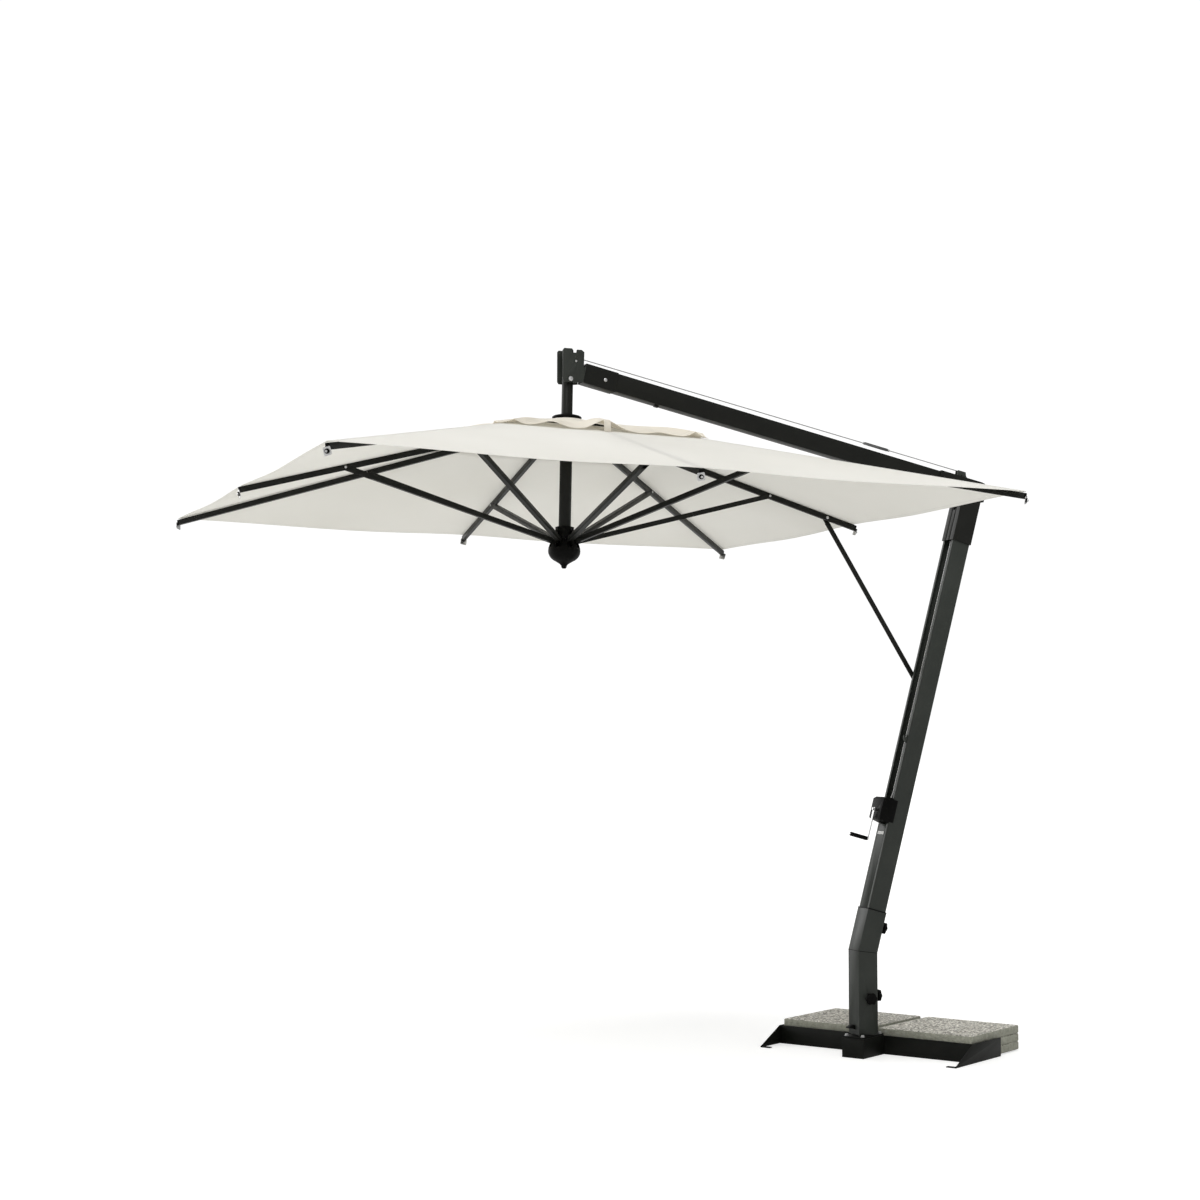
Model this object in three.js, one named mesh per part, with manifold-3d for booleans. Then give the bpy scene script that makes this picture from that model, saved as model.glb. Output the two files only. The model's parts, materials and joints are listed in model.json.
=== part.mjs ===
// Cantilever parasol: square 3 m canopy hung from an inclined arm, leaning mast,
// swivel foot and slab-weighted base. Millimetres, +Z up, origin on the ground under the mast.
import * as THREE from "three";
import { mergeVertices } from "three/addons/utils/BufferGeometryUtils.js";
import Module from "manifold-3d";

const wasm = await Module();
wasm.setup();

// ---------------------------------------------------------------- driving dimensions
const GAP = 0.3;
const DEG = Math.PI / 180;

// base frame, drawn square to its own long beam and then turned in plan
const BASE_TURN = -59 * DEG;
const BEAM_HALF = 532;
const BEAM_FRONT = 94;
const BEAM_HEIGHT = 89;
const SHEET = 4;
const END_REAR = 378;
const WING_FRONT = -82;
const SLAB = 500;
const SLAB_HEIGHT = 39;
const SLAB_FRONT = 107;
const SLAB_INNER = 19;
const BOX_HALF_U = 58.5;
const BOX_FRONT = -104;
const BOX_HEIGHT = 92;

// post, mast and arm
const POST = 102;
const POST_WALL = 3;
const POST_BOTTOM = 103;
const BEND_Z = 497;
const LEAN = 15.3 * DEG;
const COLLAR = 200;
const MAST = 95;
const MAST_WALL = 3;
const MAST_START = 30;
const MAST_TOP = 2288;
const MOUTH = 64;
const CHANNEL_DEPTH = 26;
const SLEEVE_START = 2066;
const SLEEVE = 106;
const ARM_SLOPE = 12.3 * DEG;
const ARM_HEIGHT = 86;
const ARM_WIDTH = 62;
const ARM_WALL = 3;
const ARM_ORIGIN = [-1453, 0, 3211];
const ARM_SEAM = 165;
const ARM_END = 2170;
const SADDLE_START = 1932;
const TAIL_END = 2198;

// winch and crank, in the mast's own frame
const WINCH_LOW = 630;
const WINCH_HIGH = 743;
const WINCH_DEPTH = 55;
const WINCH_HALF = 52;
const WINCH_WRAP = 24;
const CRANK_Z = 675;
const CRANK_X = -114;
const CRANK_THROW = 147;
const GRIP_LENGTH = 92;
const DRUM_Z = 706;
const DRUM_X = -70;

// canopy frame: its own origin is the middle of the rim plane
const CANOPY_AT = [-1537.4, 0, 2571];
const CANOPY_TILT = 1.1 * DEG;
const HALF = 1500;
const RING = 55;
const CROWN_Z = 405;
const MID_SLOPE = 15.5 * DEG;
const MID_JOINT = 1045;
const CORNER_SLOPE = 11.09 * DEG;
const CORNER_JOINT = 1045;
const RIB_WIDTH = 18;
const RIB_HEIGHT = 26;
const RIB_WALL = 2;
const FORK_WIDTH = 22.6;
const FORK_GAP = 19;
const STRETCHER_HEIGHT = 23;
const FABRIC = 1.5;
const FABRIC_LIFT = 16.5;
const OPENING_HALF = 330;
const VENT_HALF = 495;
const POST_UPPER_R = 26;
const POST_LOWER_R = 28.5;
const POST_BORE_R = 22;
const BALL_R = 75;
const BALL_Z = -190;
const PIN_Z = 607;

// strut between the mast-side rib and the far side of the mast
const STRUT_RADIUS = 1357;
const STRUT_TUBE_R = 12;
const STRUT_UPPER_Y = 24;
const STRUT_LOWER_Y = 64;
const STRUT_PIVOT_Z = 1338;

// lift cable
const CABLE_R = 2.5;
const HEAD_PULLEY_AT = [-1498.3, 3262];
const HEAD_PULLEY_R = 23.3;
const TAIL_PULLEY_S = 2062;
const TAIL_PULLEY_R = 17;

// ---------------------------------------------------------------- materials
const finish = (color, roughness, metalness) => ({ color, roughness, metalness });
const BLACK = finish(0x2a2c2a, 0.45, 0.6);
const PLASTIC = finish(0x151515, 0.6, 0.0);
const STEEL = finish(0xb8bab8, 0.3, 1.0);
const CLOTH = finish(0xf0eeea, 0.9, 0.0);
const CONCRETE = finish(0xa09e92, 0.95, 0.0);

// ---------------------------------------------------------------- solids
function positionsOnly(geometry) {
  const bare = geometry.clone();
  for (const name of Object.keys(bare.attributes)) {
    if (name !== "position") bare.deleteAttribute(name);
  }
  return mergeVertices(bare, 1e-3);
}

function solid(geometry) {
  const merged = positionsOnly(geometry);
  return new wasm.Manifold(
    new wasm.Mesh({
      numProp: 3,
      vertProperties: new Float32Array(merged.attributes.position.array),
      triVerts: new Uint32Array(merged.index.array),
    }),
  );
}

function geometryOf(manifold) {
  const mesh = manifold.getMesh();
  const geometry = new THREE.BufferGeometry();
  const points = new Float32Array(mesh.vertProperties);
  geometry.setAttribute("position", new THREE.BufferAttribute(points, 3));
  geometry.setIndex(new THREE.BufferAttribute(new Uint32Array(mesh.triVerts), 1));
  geometry.computeVertexNormals();
  return geometry;
}

const join = (first, ...rest) => rest.reduce((sum, piece) => sum.add(piece), first);
const cut = (first, ...rest) => rest.reduce((left, piece) => left.subtract(piece), first);

// A box between two corners.
function block(low, high) {
  const size = high.map((value, i) => value - low[i]);
  const middle = high.map((value, i) => (value + low[i]) / 2);
  const geometry = new THREE.BoxGeometry(...size);
  geometry.translate(...middle);
  return solid(geometry);
}

// A side outline of [x, z] points, extruded along Y between y0 and y1.
function sidePlate(points, y0, y1, holes = []) {
  const shape = new THREE.Shape(points.map(([x, z]) => new THREE.Vector2(x, z)));
  for (const [x, z, radius] of holes) {
    const hole = new THREE.Path();
    hole.absarc(x, z, radius, 0, 2 * Math.PI, true);
    shape.holes.push(hole);
  }
  const geometry = new THREE.ExtrudeGeometry(shape, {
    depth: y1 - y0,
    bevelEnabled: false,
    curveSegments: 12,
  });
  geometry.rotateX(Math.PI / 2);
  geometry.translate(0, y1, 0);
  return solid(geometry);
}

// A round bar along one axis, centred on a point.
function rod(axis, at, radius, length, sides = 16) {
  const geometry = new THREE.CylinderGeometry(radius, radius, length, sides);
  if (axis === "x") geometry.rotateZ(Math.PI / 2);
  if (axis === "z") geometry.rotateX(Math.PI / 2);
  geometry.translate(...at);
  return solid(geometry);
}

// A turned piece about Z from [radius, z] points that run upwards.
function turned(points, sides = 24) {
  const geometry = new THREE.LatheGeometry(
    points.map(([r, z]) => new THREE.Vector2(r, z)),
    sides,
  );
  geometry.rotateX(Math.PI / 2);
  return solid(geometry);
}

// A turned ring whose [radius, z] outline closes on itself.
const turnedRing = (points, sides = 24) => turned([...points, points[0]], sides);

// A rectangular tube along X, open at both ends, centred on the X axis.
function tubeAlongX(x0, x1, width, height, wall) {
  const outer = block([x0, -width / 2, -height / 2], [x1, width / 2, height / 2]);
  const inner = block(
    [x0 - 1, wall - width / 2, wall - height / 2],
    [x1 + 1, width / 2 - wall, height / 2 - wall],
  );
  return cut(outer, inner);
}

function mesh(name, manifold, look, group) {
  const material = new THREE.MeshStandardMaterial(look);
  const made = new THREE.Mesh(geometryOf(manifold), material);
  made.name = name;
  group.add(made);
  return made;
}

// ---------------------------------------------------------------- groups
const parasol = new THREE.Group();
const base = new THREE.Group();
base.rotation.z = BASE_TURN;
const mastFrame = new THREE.Group();
mastFrame.position.set(0, 0, BEND_Z);
mastFrame.rotation.y = LEAN;
const armFrame = new THREE.Group();
armFrame.position.set(...ARM_ORIGIN);
armFrame.rotation.y = ARM_SLOPE;
const canopyFrame = new THREE.Group();
canopyFrame.position.set(...CANOPY_AT);
canopyFrame.rotation.y = CANOPY_TILT;
parasol.add(base, mastFrame, armFrame, canopyFrame);

// Moves a solid drawn in one group's frame into another group's frame.
function carried(manifold, from, to) {
  parasol.updateMatrixWorld(true);
  const matrix = to.matrixWorld.clone().invert().multiply(from.matrixWorld);
  const geometry = geometryOf(manifold);
  geometry.applyMatrix4(matrix);
  return solid(geometry);
}

// ---------------------------------------------------------------- base
function baseBeam() {
  const web = block([-BEAM_HALF, BEAM_FRONT, 0], [BEAM_HALF, BEAM_FRONT + SHEET, BEAM_HEIGHT]);
  const foot = block([-BEAM_HALF, BEAM_FRONT, 0], [BEAM_HALF, BEAM_FRONT + 54, SHEET]);
  return join(web, foot);
}

// The end plate is drawn in its side view, then turned a quarter into the beam's frame.
function baseEnd(side) {
  const outline = [
    [-END_REAR, 0],
    [-END_REAR, BEAM_HEIGHT],
    [-BEAM_FRONT, BEAM_HEIGHT],
    [-WING_FRONT - 12, 10],
    [-WING_FRONT, 6],
    [-WING_FRONT, 0],
  ];
  const inner = side * (BEAM_HALF + GAP);
  const outer = side * (BEAM_HALF + GAP + SHEET);
  const plate = sidePlate(outline, Math.min(inner, outer), Math.max(inner, outer));
  const geometry = geometryOf(plate);
  geometry.rotateZ(-Math.PI / 2);
  const reach = side * (BEAM_HALF - 42);
  const ledge = block(
    [Math.min(reach, outer), BEAM_FRONT + 56, 0],
    [Math.max(reach, outer), END_REAR, SHEET],
  );
  const toe = side * (BEAM_HALF - 48);
  const tab = block(
    [Math.min(toe, outer), WING_FRONT, 0],
    [Math.max(toe, outer), WING_FRONT + 24, SHEET],
  );
  return join(solid(geometry), ledge, tab);
}

function postBox() {
  const outer = block([-BOX_HALF_U, BOX_FRONT, 0], [BOX_HALF_U, BEAM_FRONT - GAP, BOX_HEIGHT]);
  const inner = block(
    [5 - BOX_HALF_U, BOX_FRONT + 5, 5],
    [BOX_HALF_U - 5, BEAM_FRONT + 1, BOX_HEIGHT - 6],
  );
  return cut(outer, inner);
}

function swivelFlange() {
  const plate = block([-57, -99, BOX_HEIGHT + GAP], [57, 92, BOX_HEIGHT + 8]);
  const spigot = turned(
    [
      [0, BOX_HEIGHT + 4],
      [38, BOX_HEIGHT + 4],
      [38, 300],
      [34, 304],
      [0, 304],
    ],
    24,
  );
  return cut(join(plate, spigot), rod("z", [0, 0, 250], 33, 300, 24));
}

function buildBase() {
  mesh("base_beam", baseBeam(), BLACK, base);
  mesh("base_end_left", baseEnd(-1), BLACK, base);
  mesh("base_end_right", baseEnd(1), BLACK, base);
  mesh("post_box", postBox(), BLACK, base);
  mesh("swivel_flange", swivelFlange(), BLACK, base);
  for (const side of [-1, 1]) {
    const label = side < 0 ? "left" : "right";
    const near = side * SLAB_INNER;
    const far = side * (SLAB_INNER + SLAB);
    for (let layer = 0; layer < 3; layer++) {
      const bottom = SHEET + GAP + layer * (SLAB_HEIGHT + GAP);
      const slab = block(
        [Math.min(near, far), SLAB_FRONT, bottom],
        [Math.max(near, far), SLAB_FRONT + SLAB, bottom + SLAB_HEIGHT],
      );
      mesh(`slab_${label}_${layer + 1}`, slab, CONCRETE, base);
    }
  }
}

// ---------------------------------------------------------------- post and mast
// Side outline of the bent post, moved inwards by an offset and run past both ends by a margin.
function bentOutline(inset, below, above) {
  const half = POST / 2 - inset;
  const mitre = half * Math.tan(LEAN / 2);
  const along = (x, z) => [
    x * Math.cos(LEAN) + z * Math.sin(LEAN),
    BEND_Z - x * Math.sin(LEAN) + z * Math.cos(LEAN),
  ];
  return [
    [half, below],
    [half, BEND_Z - mitre],
    along(half, above),
    along(-half, above),
    [-half, BEND_Z + mitre],
    [-half, below],
  ];
}

function lowerPost() {
  const half = POST / 2;
  const outer = sidePlate(bentOutline(0, POST_BOTTOM, COLLAR), -half, half);
  const inner = sidePlate(
    bentOutline(POST_WALL, POST_BOTTOM + 5, COLLAR + 10),
    POST_WALL - half,
    half - POST_WALL,
  );
  const spigotHole = rod("z", [0, 0, POST_BOTTOM], 38.6, 40, 24);
  const stemHoles = [
    rod("x", [half, 0, 283], 5.5, 20),
    rod("y", [0, -half, 278], 5.5, 20),
    carried(rod("x", [half, 0, 132], 5.5, 20), mastFrame, parasol),
  ];
  return cut(outer, inner, spigotHole, ...stemHoles);
}

function mastTube() {
  const half = MAST / 2;
  const hollow = half - MAST_WALL;
  const low = MAST_START - 1;
  const high = MAST_TOP + 1;
  const wallAt = -half + MAST_WALL + CHANNEL_DEPTH;
  const outer = block([-half, -half, MAST_START], [half, half, MAST_TOP]);
  const rear = block([wallAt + MAST_WALL, -hollow, low], [hollow, hollow, high]);
  const channel = block([-hollow, -hollow, low], [wallAt, hollow, high]);
  const mouth = block([-half - 1, -MOUTH / 2, low], [-hollow + 1, MOUTH / 2, high]);
  const strutHole = rod("y", [0, half, STRUT_PIVOT_Z], 5.5, 20);
  return cut(outer, rear, channel, mouth, strutHole);
}

function mastCover() {
  const front = -MAST / 2;
  const half = MOUTH / 2 - GAP;
  const plate = block([front, -half, COLLAR + 2], [front + 2.7, half, WINCH_LOW - 10]);
  const label = block([front - 0.8, -26, 566], [front + 1, 30, 581]);
  return join(plate, label);
}

function armSleeve() {
  const half = SLEEVE / 2;
  const fit = MAST / 2 + 0.5;
  const wide = ARM_WIDTH / 2 + 5;
  const tall = ARM_HEIGHT / 2 + 5;
  const inSleeve = (manifold) => carried(manifold, armFrame, mastFrame);
  const socket = block([-half, -half, SLEEVE_START], [half, half, 2300]);
  const saddle = inSleeve(block([SADDLE_START, -wide, -tall], [ARM_END - 1, wide, tall]));
  const mastRoom = block([-fit, -fit, SLEEVE_START - 1], [fit, fit, MAST_TOP + 1]);
  const y = ARM_WIDTH / 2 + 0.5;
  const z = ARM_HEIGHT / 2 + 0.5;
  const armRoom = inSleeve(block([SADDLE_START - 1, -y, -z], [ARM_END + 1, y, z]));
  const slot = inSleeve(
    block([TAIL_PULLEY_S - 30, -9, -tall - 70], [TAIL_PULLEY_S + 66, 9, tall + 1]),
  );
  const groove = (at) => block([-half - 1, at - 4, SLEEVE_START - 1], [-half + 2.5, at + 4, 2311]);
  const grooves = [-16, 16].map(groove);
  return cut(join(socket, saddle), mastRoom, armRoom, slot, ...grooves);
}

function winchHousing() {
  const back = -MAST / 2 - GAP;
  const front = back - WINCH_DEPTH;
  const outline = [
    [back, WINCH_LOW - 8],
    [back, WINCH_HIGH + 3],
    [front + 14, WINCH_HIGH],
    [front, WINCH_HIGH - 12],
    [front, WINCH_LOW + 6],
    [front + 10, WINCH_LOW],
  ];
  const inside = [
    [back + 1, WINCH_LOW - 3],
    [back + 1, WINCH_HIGH - 3],
    [front + 15, WINCH_HIGH - 3],
    [front + 3, WINCH_HIGH - 13],
    [front + 3, WINCH_LOW + 8],
    [front + 12, WINCH_LOW + 3],
  ];
  const shell = sidePlate(outline, -WINCH_HALF, WINCH_HALF);
  const hollow = sidePlate(inside, 3 - WINCH_HALF, WINCH_HALF - 3);
  const cheek = (y) => block([back - 3, y, WINCH_LOW], [back + WINCH_WRAP, y + 3, WINCH_HIGH - 4]);
  const box = cut(shell, hollow, rod("x", [front, 0, CRANK_Z], 5.5, 20));
  return join(box, cheek(-WINCH_HALF), cheek(WINCH_HALF - 3));
}

function winchDrum() {
  const flange = 3;
  const barrel = rod("y", [DRUM_X, 0, DRUM_Z], 15, 50, 20);
  const sides = [-1, 1].map((side) => rod("y", [DRUM_X, side * 25, DRUM_Z], 20, flange, 20));
  return join(barrel, ...sides);
}

function crankArm() {
  const shaft = rod("x", [(CRANK_X - 60) / 2, 0, CRANK_Z], 4.8, -CRANK_X - 60, 12);
  const bar = block([CRANK_X - 3, -8, CRANK_Z - CRANK_THROW - 8], [CRANK_X + 3, 8, CRANK_Z + 9]);
  const low = CRANK_Z - CRANK_THROW;
  const spindle = rod("x", [CRANK_X - GRIP_LENGTH / 2 - 3, 0, low], 4, GRIP_LENGTH + 8, 12);
  return join(shaft, bar, spindle);
}

function crankGrip() {
  const start = CRANK_X - 3.5;
  const low = CRANK_Z - CRANK_THROW;
  const sleeve = rod("x", [start - GRIP_LENGTH / 2, 0, low], 10, GRIP_LENGTH, 16);
  return cut(sleeve, rod("x", [start - GRIP_LENGTH / 2, 0, low], 4.4, GRIP_LENGTH + 4, 12));
}

function mastHook() {
  const back = -MAST / 2 - GAP;
  const outline = [
    [back, 1026],
    [back, 1064],
    [back - 6, 1064],
    [back - 8, 1046],
    [back - 18, 1058],
    [back - 20, 1050],
    [back - 8, 1028],
  ];
  return sidePlate(outline, -44, -34);
}

// A lobed clamp knob with its screw, drawn along +X from the wall it bears on.
function clampKnob(wall, tip) {
  const points = [];
  for (let i = 0; i < 36; i++) {
    const turn = (i / 36) * 2 * Math.PI;
    const reach = 27 + 2.5 * Math.cos(6 * turn);
    points.push([reach * Math.cos(turn), reach * Math.sin(turn)]);
  }
  const geometry = geometryOf(sidePlate(points, -wall - 38, -wall - 22));
  geometry.rotateZ(Math.PI / 2);
  const stem = rod("x", [(tip + wall + 26) / 2, 0, 0], 4.8, wall + 26 - tip, 12);
  const hub = rod("x", [wall + 12, 0, 0], 13, 22, 16);
  return join(solid(geometry), stem, hub);
}

function placedKnob(name, group, height, axis, tip) {
  const wall = POST / 2;
  const knob = mesh(name, clampKnob(wall, tip), PLASTIC, group);
  knob.position.set(0, 0, height);
  if (axis === "-y") knob.rotation.z = -Math.PI / 2;
}

function footPedal() {
  const face = -POST / 2;
  const outline = [
    [face - 0.8, 128],
    [face - 1.4, 148],
    [face - 10, 150],
    [face - 34, 141],
    [face - 36, 134],
    [face - 14, 134],
  ];
  return sidePlate(outline, -15, 15);
}

function buildMast() {
  mesh("lower_post", lowerPost(), BLACK, parasol);
  mesh("mast", mastTube(), BLACK, mastFrame);
  mesh("mast_cover", mastCover(), BLACK, mastFrame);
  mesh("arm_sleeve", armSleeve(), BLACK, mastFrame);
  mesh("winch_housing", winchHousing(), PLASTIC, mastFrame);
  mesh("winch_drum", winchDrum(), PLASTIC, mastFrame);
  mesh("crank_arm", crankArm(), STEEL, mastFrame);
  mesh("crank_grip", crankGrip(), PLASTIC, mastFrame);
  mesh("mast_hook", mastHook(), BLACK, mastFrame);
  placedKnob("mast_knob", mastFrame, 132, "x", MAST / 2 + GAP);
  placedKnob("rear_knob", parasol, 283, "x", 38.4);
  placedKnob("side_knob", parasol, 278, "-y", 38.4);
  mesh("foot_pedal", footPedal(), PLASTIC, parasol);
}

// ---------------------------------------------------------------- arm and head
function armTube() {
  const tube = tubeAlongX(ARM_SEAM, ARM_END, ARM_WIDTH, ARM_HEIGHT, ARM_WALL);
  const cableWay = block([TAIL_PULLEY_S - 28, -9, -60], [TAIL_PULLEY_S + 64, 9, 60]);
  const keel = block([382, -11, -ARM_HEIGHT / 2 - 9], [402, 11, 1 - ARM_HEIGHT / 2]);
  return join(cut(tube, cableWay), keel);
}

function armNose() {
  const body = tubeAlongX(0, ARM_SEAM - GAP, ARM_WIDTH + 4, ARM_HEIGHT + 6, 6);
  const plug = tubeAlongX(40, ARM_SEAM + 110, ARM_WIDTH - 7, ARM_HEIGHT - 7, 4);
  const link = cut(
    block([ARM_SEAM - 60, -32, -45], [ARM_SEAM - 50, 32, 45]),
    block([ARM_SEAM - 61, -20, -30], [ARM_SEAM - 49, 20, 30]),
  );
  return join(body, plug, link);
}

function armTail() {
  const low = -ARM_HEIGHT / 2 - 5;
  const high = ARM_HEIGHT / 2 + 5;
  const outline = [
    [ARM_END + GAP, low],
    [ARM_END + GAP, high],
    [TAIL_END - 12, high - 3],
    [TAIL_END, high - 18],
    [TAIL_END, low],
  ];
  return sidePlate(outline, -ARM_WIDTH / 2 - 5, ARM_WIDTH / 2 + 5);
}

const headPin = () => {
  const x = CANOPY_AT[0] + PIN_Z * Math.sin(CANOPY_TILT);
  const z = CANOPY_AT[2] + PIN_Z * Math.cos(CANOPY_TILT);
  return [x, z];
};

// Two side plates on a bridge that bears on the front of the arm's nose.
function headYoke() {
  const [px, pz] = headPin();
  const outline = [
    [-1462, 3166],
    [-1457, 3306],
    [-1470, 3316],
    [-1494, 3316],
    [-1497, 3300],
    [-1517, 3300],
    [-1517, 3320],
    [-1556, 3320],
    [-1563, 3312],
    [-1563, 3172],
    [-1556, 3162],
    [-1500, 3162],
  ];
  const holes = [
    [px, pz, 6.4],
    [HEAD_PULLEY_AT[0], HEAD_PULLEY_AT[1], 5.4],
  ];
  const near = sidePlate(outline, -40, -35, holes);
  const far = sidePlate(outline, 35, 40, holes);
  const bridge = carried(block([-7, -40, -36], [-GAP, 40, 26]), armFrame, parasol);
  return join(near, far, bridge);
}

function crossBolt(at, radius, reach, head) {
  const shank = rod("y", [at[0], 0, at[1]], radius, 2 * reach + 2, 12);
  const caps = [-1, 1].map((side) => rod("y", [at[0], side * (reach + 3), at[1]], head, 5.4, 12));
  return join(shank, ...caps);
}

function pulley(radius, bore) {
  const ring = turnedRing(
    [
      [bore, -6.5],
      [radius + 5, -6.5],
      [radius + 5, -4.9],
      [radius, -3.2],
      [radius, 3.2],
      [radius + 5, 4.9],
      [radius + 5, 6.5],
      [bore, 6.5],
    ],
    20,
  );
  const geometry = geometryOf(ring);
  geometry.rotateX(Math.PI / 2);
  return solid(geometry);
}

// Two ears on a foot, over the hole where the cable leaves the arm.
function cableBracket() {
  const s = TAIL_PULLEY_S;
  const low = ARM_HEIGHT / 2 + 5 + GAP;
  const outline = [
    [s - 26, low],
    [s - 26, low + 31],
    [s + 19, low + 31],
    [s + 25, low + 12],
    [s + 40, low],
  ];
  const ears = [-12, 9].map((y) => sidePlate(outline, y, y + 3));
  const foot = block([s + 30, -12, low], [s + 36, 12, low + 3]);
  return cut(join(...ears, foot), rod("y", [s, 0, low + 8], 3.4, 40, 12));
}

// Side view of the cable: winch, channel of the mast, tail pulley, top of the arm, head pulley.
function cableRoute() {
  const inMast = [
    [DRUM_X + 18, DRUM_Z + 2],
    [-46, 726],
    [-38, 745],
    [-32, 775],
    [-32, 2200],
  ];
  parasol.updateMatrixWorld(true);
  const sideView = (frame) => ([x, z]) => {
    const point = new THREE.Vector3(x, 0, z).applyMatrix4(frame.matrixWorld);
    return [point.x, point.z];
  };
  const tail = TAIL_PULLEY_R + CABLE_R + 0.6;
  const centre = ARM_HEIGHT / 2 + 5 + GAP + 8;
  const onArm = [];
  for (let angle = 0; angle <= 90; angle += 15) {
    onArm.push([TAIL_PULLEY_S + tail * Math.cos(angle * DEG), centre + tail * Math.sin(angle * DEG)]);
  }
  const over = HEAD_PULLEY_R + CABLE_R + 0.6;
  const atHead = [];
  for (let angle = 75; angle <= 180; angle += 15) {
    const x = HEAD_PULLEY_AT[0] + over * Math.cos(angle * DEG);
    atHead.push([x, HEAD_PULLEY_AT[1] + over * Math.sin(angle * DEG)]);
  }
  atHead.push([HEAD_PULLEY_AT[0] - over, 3216]);
  return [...inMast.map(sideView(mastFrame)), ...onArm.map(sideView(armFrame)), ...atHead];
}

// A round cable along a path of [x, z] points in the plane y = 0.
function planarCable(path, radius, sides) {
  const positions = [];
  path.forEach(([x, z], i) => {
    const before = path[Math.max(i - 1, 0)];
    const after = path[Math.min(i + 1, path.length - 1)];
    const dx = after[0] - before[0];
    const dz = after[1] - before[1];
    const run = Math.hypot(dx, dz);
    for (let j = 0; j < sides; j++) {
      const a = (j / sides) * 2 * Math.PI;
      const out = radius * Math.cos(a);
      positions.push(x - (out * dz) / run, radius * Math.sin(a), z + (out * dx) / run);
    }
  });
  const index = [];
  const last = (path.length - 1) * sides;
  for (let j = 0; j < sides; j++) {
    const next = (j + 1) % sides;
    for (let at = 0; at < last; at += sides) {
      index.push(at + j, at + sides + next, at + next);
      index.push(at + j, at + sides + j, at + sides + next);
    }
    if (j > 0 && j < sides - 1) {
      index.push(0, j, j + 1);
      index.push(last, last + j + 1, last + j);
    }
  }
  const geometry = new THREE.BufferGeometry();
  geometry.setAttribute("position", new THREE.BufferAttribute(new Float32Array(positions), 3));
  geometry.setIndex(index);
  return solid(geometry);
}

// Open-sided tensioner round the cable.
function turnbuckle() {
  const level = 74.1;
  const bar = block([1502, -6.6, level - 5.6], [1633, 6.6, level + 5.6]);
  const windows = [
    block([1524, -4.2, level - 10], [1611, 4.2, level + 10]),
    rod("x", [1567, 0, level], CABLE_R + 1.6, 150, 12),
  ];
  return cut(bar, ...windows);
}

function buildArm() {
  mesh("arm_tube", armTube(), BLACK, armFrame);
  mesh("arm_nose", armNose(), BLACK, armFrame);
  mesh("arm_tail", armTail(), PLASTIC, armFrame);
  mesh("head_yoke", headYoke(), BLACK, parasol);
  mesh("head_pin", crossBolt(headPin(), 6, 40, 11), STEEL, parasol);
  mesh("cable_bracket", cableBracket(), BLACK, armFrame);
  mesh("turnbuckle", turnbuckle(), STEEL, armFrame);
  const wheel = join(pulley(HEAD_PULLEY_R, 4), rod("y", [0, 0, 0], 5, 86, 12));
  const head = mesh("head_pulley", wheel, STEEL, parasol);
  head.position.set(HEAD_PULLEY_AT[0], 0, HEAD_PULLEY_AT[1]);
  const tail = mesh("tail_pulley", pulley(TAIL_PULLEY_R, 4), PLASTIC, armFrame);
  tail.position.set(TAIL_PULLEY_S, 0, ARM_HEIGHT / 2 + 5 + GAP + 8);
  mesh("lift_cable", planarCable(cableRoute(), CABLE_R, 10), STEEL, parasol);
}

// ---------------------------------------------------------------- canopy frame
function canopyPost() {
  const tube = turnedRing(
    [
      [POST_BORE_R, -85],
      [POST_LOWER_R, -85],
      [POST_LOWER_R, CROWN_Z - 24],
      [POST_UPPER_R, CROWN_Z - 24],
      [POST_UPPER_R, PIN_Z + 14],
      [POST_BORE_R, PIN_Z + 14],
    ],
    24,
  );
  return cut(tube, rod("y", [0, 0, PIN_Z], 6.4, 80, 12));
}

// Radial slots for eight bars, wider than the bars and open outwards.
function radialSlots(inner, outer, width, low, high) {
  const slots = [];
  for (let k = 0; k < 8; k++) {
    const geometry = new THREE.BoxGeometry(outer - inner, width, high - low);
    geometry.translate((outer + inner) / 2, 0, (low + high) / 2);
    geometry.rotateZ((k * Math.PI) / 4);
    slots.push(solid(geometry));
  }
  return slots;
}

function crownHub() {
  const ring = turnedRing(
    [
      [POST_UPPER_R + 0.6, CROWN_Z - 22],
      [66, CROWN_Z - 22],
      [68, CROWN_Z - 18],
      [68, CROWN_Z + 19],
      [POST_UPPER_R + 0.6, CROWN_Z + 19],
    ],
    24,
  );
  return cut(ring, ...radialSlots(36, 90, 20, CROWN_Z - 30, CROWN_Z + 15.6));
}

function topDisc() {
  return turnedRing([
    [POST_UPPER_R + 0.6, 426.4],
    [68.5, 426.4],
    [68.5, 434],
    [60, 439],
    [36, 445],
    [POST_UPPER_R + 0.6, 445],
  ]);
}

function runnerBall() {
  const points = [
    [0, BALL_Z - 80],
    [8, BALL_Z - 79],
    [12, BALL_Z - 74],
    [13.5, BALL_Z - 66],
    [21, BALL_Z - 58],
  ];
  for (let a = -60; a <= 48; a += 12) {
    const squat = a < 0 ? 0.74 : 1;
    points.push([BALL_R * Math.cos(a * DEG), BALL_Z + squat * BALL_R * Math.sin(a * DEG)]);
  }
  points.push([54.5, -110], [54.5, -95], [43, -95], [43, -77], [29.6, -77], [29.6, -88], [0, -88]);
  return cut(turned(points, 24), ...radialSlots(38, 90, 26.4, -174, -60));
}

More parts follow.
